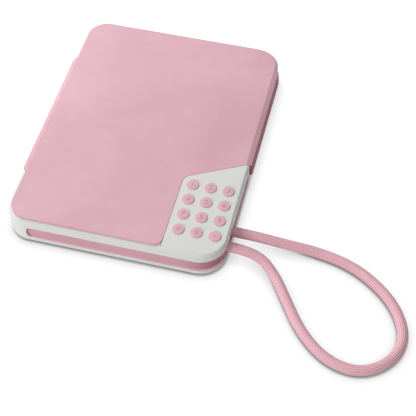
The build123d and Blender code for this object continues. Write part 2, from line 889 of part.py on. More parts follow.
# centre line of the cord, out of one socket, round the loop on the table and back
cord_route = [
    (anchor_x, cord_exit_a, cord_z),
    (side_x + 14.5, cord_exit_a, cord_z),
    (side_x + 38.5, cord_mid + 8.4, 7.1),
    (side_x + 65.0, cord_mid + 9.2, cord_r),
    (side_x + 90.7, cord_mid + 2.8, cord_r),
    (side_x + 112.5, cord_mid - 10.7, cord_r),
    (side_x + 126.2, cord_mid - 26.8, cord_r),
    (side_x + 132.9, cord_mid - 47.8, cord_r),
    (side_x + 128.1, cord_mid - 68.2, cord_r),
    (side_x + 108.5, cord_mid - 82.1, cord_r),
    (side_x + 84.5, cord_mid - 77.9, cord_r),
    (side_x + 63.9, cord_mid - 60.2, cord_r),
    (side_x + 50.4, cord_mid - 37.7, cord_r),
    (side_x + 38.6, cord_mid - 19.5, 4.6),
    (side_x + 25.0, cord_mid - 8.4, 8.4),
    (side_x + 8.5, cord_exit_b, cord_z),
    (anchor_x, cord_exit_b, cord_z),
]


def bend_radii(points):
    """Largest even bends that the runs of a route leave room for."""
    radii = []
    for before, here, after in zip(points, points[1:], points[2:]):
        into = Vector(*here) - Vector(*before)
        out = Vector(*after) - Vector(*here)
        half_turn = math.radians(into.get_angle(out)) / 2
        radii.append(0.45 * min(into.length, out.length) / math.tan(half_turn))
    return radii


radii = bend_radii(cord_route)
print("cord bends", [round(r, 1) for r in radii])

with BuildPart() as cord_loop:
    with BuildLine() as cord_path:
        FilletPolyline(*cord_route, radius=radii)
    centre_line = cord_path.wire()
    with BuildSketch(Plane(centre_line @ 0, z_dir=centre_line % 0)):
        Circle(cord_r)
    sweep(path=centre_line)

cord_volume = math.pi * cord_r**2 * centre_line.length
print("cord length", round(centre_line.length, 1))
print("cord volume against section times length", round(cord_loop.part.volume / cord_volume, 4))

finish(cord_loop, "cord_loop")


# ---- batteries, contacts and door ----
for i in range(cell_count):
    flipped = i % 2 == 1
    start = minus_y + (cell_len + contact_bump - contact_spring if flipped else 0)
    way = -1 if flipped else 1
    x = first_cell_x + cell_pitch * i
    with BuildPart() as cell:
        with BuildSketch(Plane((x, start, cell_z), x_dir=(1, 0, 0), z_dir=(0, way, 0))):
            Circle(cell_r)
        extrude(amount=cell_len - cell_nub_len)
        fillet(cell.edges().filter_by(GeomType.CIRCLE), cell_nub_len / 2)
        with BuildSketch(Plane((x, start, cell_z), x_dir=(1, 0, 0), z_dir=(0, way, 0))):
            Circle(cell_nub_r)
        extrude(amount=cell_len)
    finish(cell, f"battery_{i + 1}")

with BuildPart() as battery_contacts:
    for front in (True, False):
        face_y = front_plate_y if front else rear_plate_y
        # one plate alone and one bridging pair at each end, staggered
        groups = ((0, 0), (1, cell_count - 1)) if front else ((0, cell_count - 2), (cell_count - 1,) * 2)
        for first, last in groups:
            low_x = first_cell_x + cell_pitch * first - cell_pitch / 2 + contact_gap / 2
            high_x = first_cell_x + cell_pitch * last + cell_pitch / 2 - contact_gap / 2
            add(block((low_x, face_y, floor_z), (high_x, face_y + contact_t, floor_z + contact_h)))
        for i in range(cell_count):
            springy = (i % 2 == 0) == front
            reach = contact_spring if springy else contact_bump
            base_r = contact_spring_r if springy else cell_nub_r
            x = first_cell_x + cell_pitch * i
            way = 1 if front else -1
            at_y = face_y + (contact_t if front else 0)
            with BuildSketch(Plane((x, at_y, cell_z), x_dir=(1, 0, 0), z_dir=(0, way, 0))):
                Circle(base_r)
            extrude(amount=reach, taper=contact_cone)

finish(battery_contacts, "battery_contacts")

with BuildPart() as battery_door:
    with BuildSketch(Plane.XY.offset(base_z)):
        add(door_plan(door_gap))
    extrude(amount=door_t)
    for x in tab_places:
        low = (x - tab_w / 2, door_front - tab_l, tab_z)
        add(block(low, (x + tab_w / 2, door_front + door_tongue / 2, tab_z + tab_t)))
    with Locations((door_mid_x, door_back - door_tongue / 2, base_z)):
        with GridLocations(0, door_grip_pitch, 1, door_grip_n):
            grip = (Align.CENTER, Align.CENTER, Align.CENTER)
            Box(door_grip[0], door_grip[1], 2 * door_grip[2], align=grip, mode=Mode.SUBTRACT)
    with BuildSketch(Plane.XY.offset(base_z)):
        with Locations((door_mid_x, door_screw_y)):
            Circle(screw_head_r + head_gap)
    extrude(amount=door_head_t, mode=Mode.SUBTRACT)
    with BuildSketch(Plane.XY.offset(base_z)):
        with Locations((door_mid_x, door_screw_y)):
            Circle(screw_r + screw_clear)
    extrude(amount=door_t, mode=Mode.SUBTRACT)

finish(battery_door, "battery_door")

with BuildPart() as battery_door_screw:
    add(screws([(door_mid_x, door_screw_y)], base_z + door_head_t, door_screw_len, head_t=door_head_t))

finish(battery_door_screw, "battery_door_screw")


# ---- latch ----
with BuildPart() as solenoid:
    low = (bolt_x - solenoid_w / 2, solenoid_front - solenoid_l, solenoid_low)
    high = (bolt_x + solenoid_w / 2, solenoid_front, solenoid_low + solenoid_h)
    add(block(low, high))
    # open sides of the frame, with the coil between its end plates
    room_y = (solenoid_front - solenoid_l + solenoid_frame, solenoid_front - solenoid_frame)
    for side in (-1, 1):
        near = bolt_x + side * (solenoid_w / 2 - solenoid_frame)
        far = bolt_x + side * solenoid_w
        box_low = (min(near, far), room_y[0], solenoid_low + solenoid_frame)
        box_high = (max(near, far), room_y[1], top_z)
        add(block(box_low, box_high), mode=Mode.SUBTRACT)
    with BuildSketch(Plane.XZ.offset(-room_y[0])):
        with Locations((bolt_x, bolt_z)):
            Circle(solenoid_h / 2 - solenoid_frame / 2)
    extrude(amount=-(room_y[1] - room_y[0]))
    with BuildSketch(Plane.XZ.offset(-solenoid_front)):
        with Locations((bolt_x, bolt_z)):
            Circle(plunger_r + plunger_clear)
    extrude(amount=plunger_len - bolt_gap + head_gap, mode=Mode.SUBTRACT)

finish(solenoid, "solenoid")

with BuildPart() as latch_bolt:
    low = (bolt_x - bolt_w / 2, bolt_back, bolt_z - bolt_h / 2)
    add(block(low, (bolt_x + bolt_w / 2, bolt_tip, bolt_z + bolt_h / 2)))
    tip_edges = latch_bolt.faces().sort_by(Axis.Y)[-1].edges()
    chamfer(tip_edges, bolt_lead)
    with BuildSketch(Plane.XZ.offset(-bolt_back)):
        with Locations((bolt_x, bolt_z)):
            Circle(plunger_r)
    extrude(amount=plunger_len)

finish(latch_bolt, "latch_bolt")


# ---- cover ----
with BuildPart() as lid_shell:
    add(lid_form(lid_skin_t))
    # inner tray that drops into the well
    with BuildSketch(Plane.XY.offset(panel_z)):
        add(well_plan(lid_drop_bay_gap))
        add(case_plan(wall + lid_drop_inset), mode=Mode.INTERSECT)
        add(shelf_plan(lid_drop_bay_gap), mode=Mode.SUBTRACT)
        with Locations((lid_drop_hinge_inset - well_x, 0)):
            Rectangle(case_w, case_d, align=(Align.MIN, Align.CENTER), mode=Mode.INTERSECT)
    extrude(amount=-lid_drop)
    add(knuckles(1))
    add(hinge_rod(pin_r + pin_clear, hinge_len), mode=Mode.SUBTRACT)
    for x, y in catch_screw_places:
        with Locations((x, y, tray_z)):
            Cylinder(screw_r + screw_clear, catch_screw_bite, align=screw_align, mode=Mode.SUBTRACT)

finish(lid_shell, "lid_shell")

with BuildPart() as lid_skin:
    add(lid_form(0))
    add(lid_form(lid_skin_t), mode=Mode.SUBTRACT)

finish(lid_skin, "lid_skin")

with BuildPart() as lid_catch:
    leg_x = (catch_left, catch_right)
    window_x = (leg_x[0] + catch_leg, leg_x[1] - catch_leg)
    window_z = (bolt_z - bolt_h / 2 - catch_window_gap, bolt_z + bolt_h / 2 + catch_window_gap)
    add(block((leg_x[0], catch_y, window_z[0] - catch_foot), (leg_x[1], catch_y + catch_t, tray_z)))
    add(block((leg_x[0], catch_y, tray_z - catch_base_t), (leg_x[1], catch_y + catch_base_l, tray_z)))
    window = block((window_x[0], catch_y, window_z[0]), (window_x[1], catch_y + catch_t, window_z[1]))
    add(window, mode=Mode.SUBTRACT)
    for x, y in catch_screw_places:
        with Locations((x, y, tray_z)):
            Cylinder(screw_r + screw_clear, catch_base_t, align=top_align, mode=Mode.SUBTRACT)

finish(lid_catch, "lid_catch")

with BuildPart() as catch_screws:
    add(screws(catch_screw_places, tray_z - catch_base_t, catch_base_t + catch_screw_bite - catch_screw_end))

finish(catch_screws, "catch_screws")

with BuildPart() as hinge_pin:
    add(hinge_rod(pin_r, hinge_len - 2 * pin_stop))
    chamfer(hinge_pin.edges().filter_by(GeomType.CIRCLE), pin_r / 4)

finish(hinge_pin, "hinge_pin")


# ---- notebook ----
pad_left = pad_side_gap - well_x
pad_right = catch_left - pad_catch_gap


def pad_plan(left, inset):
    """Plan of the notebook with its notch round the keypad bay."""
    with BuildSketch() as plan:
        with Locations((left, 0)):
            size = (pad_right - inset - left, 2 * (well_y - pad_end_gap - inset))
            Rectangle(*size, align=(Align.MIN, Align.CENTER))
        fillet(plan.vertices().group_by(Axis.X)[-1], pad_corner_r - inset)
        fillet(plan.vertices().group_by(Axis.X)[0], pad_spine_r - inset)
        add(keypad_corner(bay_wall_out + pad_bay_gap + inset), mode=Mode.SUBTRACT)
    return plan.sketch


with BuildPart() as notebook_cover:
    with BuildSketch(Plane.XY.offset(floor_z)):
        add(pad_plan(pad_left, 0))
    extrude(amount=pad_t + 2 * pad_cover_t)
    with BuildSketch(Plane.XY.offset(floor_z + pad_cover_t)):
        with Locations((pad_left + pad_cover_t, 0)):
            Rectangle(case_w, case_d, align=(Align.MIN, Align.CENTER))
    extrude(amount=pad_t, mode=Mode.SUBTRACT)

finish(notebook_cover, "notebook_cover")

with BuildPart() as notebook_pages:
    with BuildSketch(Plane.XY.offset(floor_z + pad_cover_t)):
        add(pad_plan(pad_left + pad_cover_t, pad_page_inset))
    extrude(amount=pad_t)

finish(notebook_pages, "notebook_pages")
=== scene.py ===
"""Electronic secret diary: materials, cord, key numbers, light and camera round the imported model."""

import math

import bpy
import numpy as np
from mathutils import Matrix, Vector


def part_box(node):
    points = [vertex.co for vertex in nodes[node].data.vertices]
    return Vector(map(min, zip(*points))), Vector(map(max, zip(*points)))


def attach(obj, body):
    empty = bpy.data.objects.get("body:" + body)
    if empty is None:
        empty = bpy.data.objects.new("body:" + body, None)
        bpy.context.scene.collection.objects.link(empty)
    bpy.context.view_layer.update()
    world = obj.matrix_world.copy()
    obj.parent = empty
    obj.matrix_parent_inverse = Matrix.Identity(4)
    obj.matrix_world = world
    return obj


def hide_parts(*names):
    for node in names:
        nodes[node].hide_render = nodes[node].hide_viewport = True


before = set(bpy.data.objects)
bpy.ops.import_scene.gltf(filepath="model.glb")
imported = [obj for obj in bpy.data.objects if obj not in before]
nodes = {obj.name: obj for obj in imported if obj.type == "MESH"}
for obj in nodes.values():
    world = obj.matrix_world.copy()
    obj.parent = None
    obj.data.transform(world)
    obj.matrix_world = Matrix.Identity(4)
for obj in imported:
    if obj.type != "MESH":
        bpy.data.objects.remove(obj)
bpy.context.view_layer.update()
scene = bpy.context.scene


def placed(name, data):
    """A new object in the scene that shows the given data."""
    made = bpy.data.objects.new(name, data)
    scene.collection.objects.link(made)
    return made


def aim(made, place, direction):
    """Puts a camera or lamp at a place and turns it to look along a direction."""
    made.location = place
    made.rotation_mode = "QUATERNION"
    made.rotation_quaternion = Vector(direction).to_track_quat("-Z", "Y")


# ---- camera ----
camera_data = bpy.data.cameras.new("camera")
camera_data.sensor_width = 36.0
camera_data.lens = 90.82
camera_data.clip_start = 0.01
camera = placed("camera", camera_data)
aim(camera, (0.17385, -0.51761, 0.62803), (-0.14750, 0.59400, -0.79090))
scene.camera = camera

# ---- sizes of the model, in metres ----
KEYS = ["1", "2", "3", "4", "5", "6", "7", "8", "9", "hash", "0", "star"]
KEY_TOP = 0.0259
PLATE_SCREWS = [(0.0751, -0.0951), (0.06175, -0.0377)]
CATCH_SCREWS = [(0.0707, -0.01285), (0.0757, -0.01285)]
DOOR_SCREW = [(0.0553, -0.0466)]
SOLENOID_X, SOLENOID_Z = 0.0732, 0.0120

# where one colour blends into the next: start and end of the blend
# painted highlight on the liner's ledge, up to the height where its wall begins
LEDGE_HIGHLIGHT_Z = (0.0068, 0.0069)
# painted shade on the slot liner round the front right bend: where it fades in along x and out along y
LINER_BEND_SHADE_X = (0.050, 0.072)
LINER_BEND_SHADE_Y = (-0.097, -0.087)
# painted light on the liner along the right side
LINER_SIDE_HIGHLIGHT_Y = (-0.090, -0.082)
# painted shade on the cover's lips below the top; the same heights also set the lips' duller gloss
LIP_SHADE_AND_GLOSS_Z = (0.0231, 0.0235)
CHIP_TO_BOARD_Z = (0.01696, 0.01698)
COIL_TO_FRAME_R = (0.00402, 0.00406)
CELL_PLUS_TO_BAND = (0.0014, 0.0016)
CELL_BAND_TO_SLEEVE = (0.0118, 0.0120)
CELL_SLEEVE_TO_END = (0.0440, 0.0441)


# ---- colours ----
def linear(red, green, blue):
    """Colour as a screen shows it, 0 to 255, turned into the linear values that shaders take."""
    made = []
    for value in (red, green, blue):
        share = value / 255
        made.append(share / 12.92 if share <= 0.04045 else ((share + 0.055) / 1.055) ** 2.4)
    return (*made, 1.0)


def shaded(colour, share):
    """The same colour, made darker or lighter by a factor."""
    return tuple(share * c for c in colour[:3]) + (1.0,)


# ---- lines and closed solids ----
def smooth_line(points, parts=24):
    """Points along the smooth curve that the given points steer."""
    curve = bpy.data.curves.new("cord_guide", "CURVE")
    curve.dimensions = "3D"
    curve.resolution_u = parts
    spline = curve.splines.new("NURBS")
    spline.points.add(len(points) - 1)
    for point, place in zip(spline.points, points):
        point.co = (*place, 1.0)
    spline.order_u = 3
    spline.use_endpoint_u = True
    guide = placed("cord_guide", curve)
    drawn = bpy.data.meshes.new_from_object(guide.evaluated_get(bpy.context.evaluated_depsgraph_get()))
    line = np.array([v.co for v in drawn.vertices])
    bpy.data.objects.remove(guide)
    return line


def evenly(line, step):
    """The same line with evenly spaced points, and its length."""
    gone = np.r_[0.0, np.cumsum(np.linalg.norm(np.diff(line, axis=0), axis=1))]
    count = int(round(gone[-1] / step))
    at = np.linspace(0.0, gone[-1], count + 1)
    return np.stack([np.interp(at, gone, line[:, k]) for k in range(3)], axis=1), gone[-1]


def swept(name, points, smooth=True):
    """A closed solid through rows of points, each row once round its section."""
    rows, around, _ = points.shape
    i, j = np.meshgrid(np.arange(rows - 1), np.arange(around), indexing="ij")
    k = (j + 1) % around
    quads = np.stack([i * around + j, i * around + k, (i + 1) * around + k, (i + 1) * around + j], axis=-1)
    faces = quads.reshape(-1, 4).tolist()
    faces.append(list(range(around))[::-1])
    faces.append(list(range((rows - 1) * around, rows * around)))
    mesh = bpy.data.meshes.new(name)
    mesh.from_pydata(points.reshape(-1, 3).tolist(), [], faces)
    mesh.polygons.foreach_set("use_smooth", [smooth] * len(faces))
    return placed(name, mesh)


def tube(name, line, reach):
    """A closed tube along a line; reach holds the radius for each row and each step round it."""
    along = np.gradient(line, axis=0)
    along /= np.linalg.norm(along, axis=1)[:, None]
    side = np.cross(along, (0.0, 0.0, 1.0))
    side /= np.linalg.norm(side, axis=1)[:, None]
    up = np.cross(side, along)
    around = reach.shape[1]
    angle = 2 * np.pi * np.arange(around)[None, :, None] / around
    ring = np.cos(angle) * side[:, None, :] + np.sin(angle) * up[:, None, :]
    return swept(name, line[:, None, :] + reach[:, :, None] * ring)


# ---- cord: ribbed sleeve, both ends held inside the case ----
CORD_R = 0.00375
CORD_STEP = 0.00045
RIBS = 16
RIB_STEPS = 7
RIB_RELIEF = 0.00020
RIB_MEAN = 0.85
STITCH = 0.0042
STITCH_DIP = 0.06
CORD_ROUTE = [
    (0.0757, -0.0715, 0.01175),
    (0.0963, -0.0715, 0.01175),
    (0.1203, -0.0700, 0.0071),
    (0.1468, -0.0692, 0.00375),
    (0.1725, -0.0756, 0.00375),
    (0.1936, -0.0894, 0.00375),
    (0.2080, -0.1052, 0.00375),
    (0.2162, -0.1264, 0.00375),
    (0.2099, -0.1466, 0.00375),
    (0.1903, -0.1605, 0.00375),
    (0.1663, -0.1563, 0.00375),
    (0.1457, -0.1386, 0.00375),
    (0.1313, -0.1163, 0.00375),
    (0.1197, -0.0983, 0.0046),
    (0.1068, -0.0868, 0.0084),
    (0.0903, -0.0853, 0.01175),
    (0.0757, -0.0853, 0.01175),
]


def rib_height(turn, along):
    """Height, 0 to 1, of a sleeve with ribs along it, each a row of stitches set off from its neighbours."""
    column = np.floor(RIBS * turn)
    across = RIBS * turn - column
    along_stitch = np.mod(along / STITCH + 0.5 * np.mod(column, 2), 1.0)
    rounded = np.sin(np.pi * across) ** 0.8
    return rounded * (1.0 - STITCH_DIP + STITCH_DIP * np.sin(np.pi * along_stitch) ** 0.5)


line, cord_measured = evenly(smooth_line(CORD_ROUTE), CORD_STEP)
turn = np.arange(RIBS * RIB_STEPS) / (RIBS * RIB_STEPS)
height = rib_height(turn[None, :], np.linspace(0.0, cord_measured, len(line))[:, None])
cord = tube("cord_braided", line, CORD_R + RIB_RELIEF * (height - RIB_MEAN))
kept = cord.data.attributes.new("rib_height", "FLOAT", "POINT")
kept.data.foreach_set("value", height.ravel().astype(np.float32))
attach(cord, "case")
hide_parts("cord_loop")


# ---- rolled edge of the cover's skin, where no lip wraps over it ----
EDGE_X, EDGE_Y = 0.0793, 0.1055
EDGE_CORNER_HINGE, EDGE_CORNER_FREE = 0.0150, 0.0175
SEAM_GAP = 0.0003
SEAM_SLOPE = math.radians(27.6)
SEAM_CORNER, COVER_CORNER = 0.0068, 0.0065
LIP_FRONT, LIP_BACK, FLAP_BACK = -0.0605, 0.0605, 0.0860
ROLL_R, ROLL_IN, ROLL_Z = 0.00030, 0.00018, 0.02470
ROLL_STEP = 0.0010
ROLL_SIDES = 16


def rounded_path(corners, height):
    """Points along straight runs with round corners, each corner given as (x, y, radius)."""
    spots = [complex(x, y) for x, y, _ in corners]
    made = [spots[0]]
    for before, here, after, (_, _, radius) in zip(spots, spots[1:], spots[2:], corners[1:]):
        into = (here - before) / abs(here - before)
        out = (after - here) / abs(after - here)
        bend = np.angle(out / into)
        start = here - into * radius * math.tan(abs(bend) / 2)
        centre = start + into * 1j * math.copysign(radius, bend)
        steps = np.linspace(0.0, bend, 2 + int(abs(bend) * 12))
        made.extend(centre + (start - centre) * np.exp(1j * steps))
    made.append(spots[-1])
    return np.array([(spot.real, spot.imag, height) for spot in made])


plate_low, plate_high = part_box("keypad_plate")
seam_x = plate_low[0] - SEAM_GAP - ROLL_IN


def beside_plate(x):
    """Y of the plate's slanted side, at x."""
    return plate_high[1] + (x - plate_high[0]) * math.tan(SEAM_SLOPE)


def seam_y(x):
    """Y of the rolled edge along the plate's slanted side, at x."""
    return beside_plate(x) + (SEAM_GAP + ROLL_IN) / math.cos(SEAM_SLOPE)


side, end = EDGE_X - ROLL_IN, EDGE_Y - ROLL_IN
front_edge = [
    (-side, LIP_FRONT, 0.0),
    (-side, -end, EDGE_CORNER_HINGE - ROLL_IN),
    (seam_x, -end, COVER_CORNER - ROLL_IN),
    (seam_x, seam_y(seam_x), SEAM_CORNER + ROLL_IN),
    (side, seam_y(side), 0.0),
]
back_edge = [
    (side, FLAP_BACK, 0.0),
    (side, end, EDGE_CORNER_FREE - ROLL_IN),
    (-side, end, EDGE_CORNER_HINGE - ROLL_IN),
    (-side, LIP_BACK, 0.0),
]
rolls = []
for name, corners in (("cover_roll_front", front_edge), ("cover_roll_back", back_edge)):
    path, _ = evenly(rounded_path(corners, ROLL_Z), ROLL_STEP)
    roll = tube(name, path, np.full((len(path), ROLL_SIDES), ROLL_R))
    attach(roll, "lid")
    rolls.append(roll)


# ---- sharp edge of the keypad plate along the cover, laid over its rounded rim ----
PLATE_TOP, PLATE_ROUND, PLATE_CORNER = 0.0250, 0.0020, 0.0065
BROKEN_EDGE = 0.0001
SUNK = 0.00005
CORNER_POINTS, ROUND_ROWS = 10, 7
END_STEPS = np.array([0.0001, 0.0003, 0.0006, 0.0010, 0.0015, 0.0020])


def plate_edge_row(inward, z):
    """Points along the plate's outline beside the cover, moved inwards, under the round of its outer rim."""
    left, front, right = plate_low[0], plate_low[1], plate_high[0]
    middle_y = beside_plate(left + PLATE_CORNER) - PLATE_CORNER / math.cos(SEAM_SLOPE)
    row = [(left + inward, front + e, e) for e in END_STEPS]
    for angle in np.linspace(math.pi, math.pi / 2 + SEAM_SLOPE, CORNER_POINTS):
        reach = PLATE_CORNER - inward
        x = left + PLATE_CORNER + reach * math.cos(angle)
        row.append((x, middle_y + reach * math.sin(angle), PLATE_ROUND))
    for e in END_STEPS[::-1]:
        row.append((right - e, beside_plate(right - e) - inward / math.cos(SEAM_SLOPE), e))
    row = np.array(row)
    drop = PLATE_ROUND - np.sqrt(PLATE_ROUND**2 - (PLATE_ROUND - row[:, 2]) ** 2)
    row[:, 2] = np.minimum(z, PLATE_TOP - drop)
    return row


sharp_side = [
    (0.0, PLATE_TOP - PLATE_ROUND),
    (0.0, PLATE_TOP - BROKEN_EDGE),
    (BROKEN_EDGE, PLATE_TOP),
    (PLATE_ROUND, PLATE_TOP),
]
plate_rows = [plate_edge_row(inward, z) for inward, z in sharp_side]
crest = plate_rows[2][:, 2]
for angle in np.linspace(math.pi / 2, 0.0, ROUND_ROWS):
    inner = PLATE_ROUND - SUNK
    inward = PLATE_ROUND - inner * math.cos(angle)
    row = plate_edge_row(inward, PLATE_TOP - PLATE_ROUND + inner * math.sin(angle))
    row[:, 2] = np.minimum(row[:, 2], crest - SUNK)
    plate_rows.append(row)
plate_edge = swept("plate_edge", np.stack(plate_rows, axis=1), smooth=False)
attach(plate_edge, "case")


# ---- materials ----
class Surface:
    """A node material under construction."""

    def __init__(self, name):
        self.material = bpy.data.materials.new(name)
        self.material.use_nodes = True
        self.tree = self.material.node_tree
        self.tree.nodes.clear()
        self.out = self.add("ShaderNodeOutputMaterial")
        self.shader = self.add("ShaderNodeBsdfPrincipled")
        self.link(self.shader.outputs[0], self.out.inputs["Surface"])
        self.place = self.add("ShaderNodeTexCoord").outputs["Object"]
        self.relief = None

    def add(self, kind, **settings):
        node = self.tree.nodes.new(kind)
        for name, value in settings.items():
            setattr(node, name, value)
        return node

    def link(self, source, target):
        self.tree.links.new(source, target)

    def axis(self, index):
        """One coordinate of the place on the surface, in metres."""
        parts = self.add("ShaderNodeSeparateXYZ")
        self.link(self.place, parts.inputs[0])
        return parts.outputs[index]

    def scaled(self, factors):
        """The surface coordinates times three factors."""
        node = self.add("ShaderNodeMapping")
        node.inputs["Scale"].default_value = factors
        self.link(self.place, node.inputs["Vector"])
        return node.outputs[0]

    def noise(self, scale, detail=3.0, rough=0.55, source=None, distortion=0.0):
        node = self.add("ShaderNodeTexNoise")
        node.inputs["Scale"].default_value = scale
        node.inputs["Detail"].default_value = detail
        node.inputs["Roughness"].default_value = rough
        node.inputs["Distortion"].default_value = distortion
        self.link(source or self.place, node.inputs["Vector"])
        return node.outputs["Fac"]

    def cells(self, scale):
        node = self.add("ShaderNodeTexVoronoi")
        node.inputs["Scale"].default_value = scale
        self.link(self.place, node.inputs["Vector"])
        return node.outputs["Distance"]

    def waves(self, scale, direction, distortion=0.0):
        node = self.add("ShaderNodeTexWave", wave_type="BANDS", bands_direction=direction)
        node.inputs["Scale"].default_value = scale
        node.inputs["Distortion"].default_value = distortion
        self.link(self.place, node.inputs["Vector"])
        return node.outputs["Fac"]

    def spread(self, source, low, high, to_low=0.0, to_high=1.0):
        """The part of a value between low and high, stretched to run from to_low to to_high."""
        node = self.add("ShaderNodeMapRange")
        node.inputs["From Min"].default_value = low
        node.inputs["From Max"].default_value = high
        node.inputs["To Min"].default_value = to_low
        node.inputs["To Max"].default_value = to_high
        self.link(source, node.inputs["Value"])
        return node.outputs[0]

    def drift(self, scale, detail, to_low=0.0, to_high=1.0):
        """A value that wanders between two levels over the surface."""
        return self.spread(self.noise(scale, detail), 0.3, 0.7, to_low, to_high)

    def maths(self, operation, first, second=None):
        node = self.add("ShaderNodeMath", operation=operation)
        for slot, value in zip(node.inputs, (first, second)):
            if value is None:
                continue
            if isinstance(value, (int, float)):
                slot.default_value = value
            else:
                self.link(value, slot)
        return node.outputs[0]

    def product(self, first, second):
        return self.maths("MULTIPLY", first, second)

    def mix(self, share, first, second):
        node = self.add("ShaderNodeMix", data_type="RGBA")
        factor, a, b = node.inputs[0], node.inputs[6], node.inputs[7]
        for slot, value in ((factor, share), (a, first), (b, second)):
            if isinstance(value, (int, float, tuple)):
                slot.default_value = value
            else:
                self.link(value, slot)
        return node.outputs[2]

    def cross(self, x, y, reach=0.0011, half_width=0.0003):
        """1 inside an upright cross round the place x, y, seen from above or below."""
        dx = self.maths("ABSOLUTE", self.maths("SUBTRACT", self.axis(0), x))
        dy = self.maths("ABSOLUTE", self.maths("SUBTRACT", self.axis(1), y))
        longer = self.maths("LESS_THAN", self.maths("MAXIMUM", dx, dy), reach)
        thinner = self.maths("LESS_THAN", self.maths("MINIMUM", dx, dy), half_width)
        return self.product(longer, thinner)

    def colour(self, source):
        self.link(source, self.shader.inputs["Base Color"])

    def roughness(self, source):
        self.link(source, self.shader.inputs["Roughness"])

    def soft_edges(self, radius):
        """Light turns softly over sharp edges, as over the small rounding of a moulding."""
        node = self.add("ShaderNodeBevel")
        node.samples = 6
        node.inputs["Radius"].default_value = radius
        self.relief = node.outputs[0]

    def bump(self, height, depth):
        """Adds relief: height times depth, in metres."""
        node = self.add("ShaderNodeBump")
        node.inputs["Strength"].default_value = 1.0
        node.inputs["Distance"].default_value = depth
        self.link(height, node.inputs["Height"])
        if self.relief is not None:
            self.link(self.relief, node.inputs["Normal"])
        self.relief = node.outputs[0]
        self.link(self.relief, self.shader.inputs["Normal"])

    def set(self, **values):
        for name, value in values.items():
            self.shader.inputs[name.replace("_", " ")].default_value = value


PLASTIC_GRAIN = 0.000006


def moulded_plastic(name, base, rough, edge=0.0003):
    """Satin moulded plastic: fine spark texture, slight cloudiness and uneven gloss."""
    s = Surface(name)
    cloud = s.drift(14.0, 3.0)
    speck = s.spread(s.noise(900.0, 2.0), 0.35, 0.65, 0.0, 0.35)
    tint = s.mix(cloud, shaded(base, 0.965), base)
    s.colour(s.mix(speck, tint, shaded(base, 0.97)))
    s.roughness(s.drift(160.0, 4.0, rough - 0.04, rough + 0.05))
    s.soft_edges(edge)
    s.bump(s.noise(2600.0, 2.0, 0.6), PLASTIC_GRAIN)
    s.set(IOR=1.46, Specular_IOR_Level=0.35)
    return s.material


def liner_plastic():
    """Pink slot liner in satin plastic.

    It carries painted shade that deepens its colour where it bends round the corner, and a painted highlight
    that makes it paler on its ledge and along the side.
    """
    s = Surface("liner_plastic")
    body = s.mix(s.drift(18.0, 3.0), linear(209, 163, 173), linear(214, 168, 178))
    # painted shade: the liner darkens where it bends round the front right corner
    bend_shade_from_x = s.spread(s.axis(0), *LINER_BEND_SHADE_X)
    bend_shade_to_y = s.spread(s.axis(1), *LINER_BEND_SHADE_Y, 1.0, 0.0)
    body = s.mix(s.product(bend_shade_from_x, bend_shade_to_y), body, linear(188, 130, 142))
    # painted light: the liner along the right side is paler
    body = s.mix(s.spread(s.axis(1), *LINER_SIDE_HIGHLIGHT_Y), body, linear(238, 186, 198))
    # painted highlight: the ledge at the bottom of the slot is paler
    ledge_highlight = s.spread(s.axis(2), *LEDGE_HIGHLIGHT_Z, 1.0, 0.0)
    s.colour(s.mix(ledge_highlight, body, linear(238, 196, 205)))
    s.roughness(s.drift(160.0, 4.0, 0.46, 0.55))
    s.bump(s.noise(2600.0, 2.0, 0.6), PLASTIC_GRAIN)
    s.set(IOR=1.46, Specular_IOR_Level=0.12)
    return s.material


def metal(name, base, rough, grain_along="Y", crosses=()):
    """Plated or drawn metal: fine lines one way, with dull patches, and crosses in screw heads, sunk by a
    bump and darkened with painted shade.
    """
    s = Surface(name)
    stretch = {"X": (40.0, 900.0, 900.0), "Y": (900.0, 40.0, 900.0), "Z": (900.0, 900.0, 40.0)}[grain_along]
    lines = s.noise(1.0, 3.0, 0.6, source=s.scaled(stretch))
    patch = s.spread(s.noise(120.0, 3.0), 0.35, 0.7)
    tint = s.mix(patch, base, shaded(base, 0.82))
    s.roughness(s.spread(lines, 0.3, 0.7, rough - 0.06, rough + 0.1))
    s.soft_edges(0.00015)
    s.bump(lines, 0.000004)
    for x, y in crosses:
        # painted shade in the cross recess of the screw head, with a sunken bump
        cross_sunk_and_shaded = s.cross(x, y)
        tint = s.mix(cross_sunk_and_shaded, tint, shaded(base, 0.06))
        s.bump(cross_sunk_and_shaded, -0.0002)
    s.colour(tint)
    s.set(Metallic=1.0)
    return s.material


def rubber(name, base):
    """Dull moulded rubber with a little dust in its fine pores."""
    s = Surface(name)
    dust = s.spread(s.noise(300.0, 4.0), 0.4, 0.75)
    s.colour(s.mix(dust, base, shaded(base, 1.18)))
    s.roughness(s.drift(90.0, 3.0, 0.72, 0.86))
    s.soft_edges(0.0002)
    s.bump(s.cells(1800.0), 0.000012)
    s.set(IOR=1.5)
    return s.material


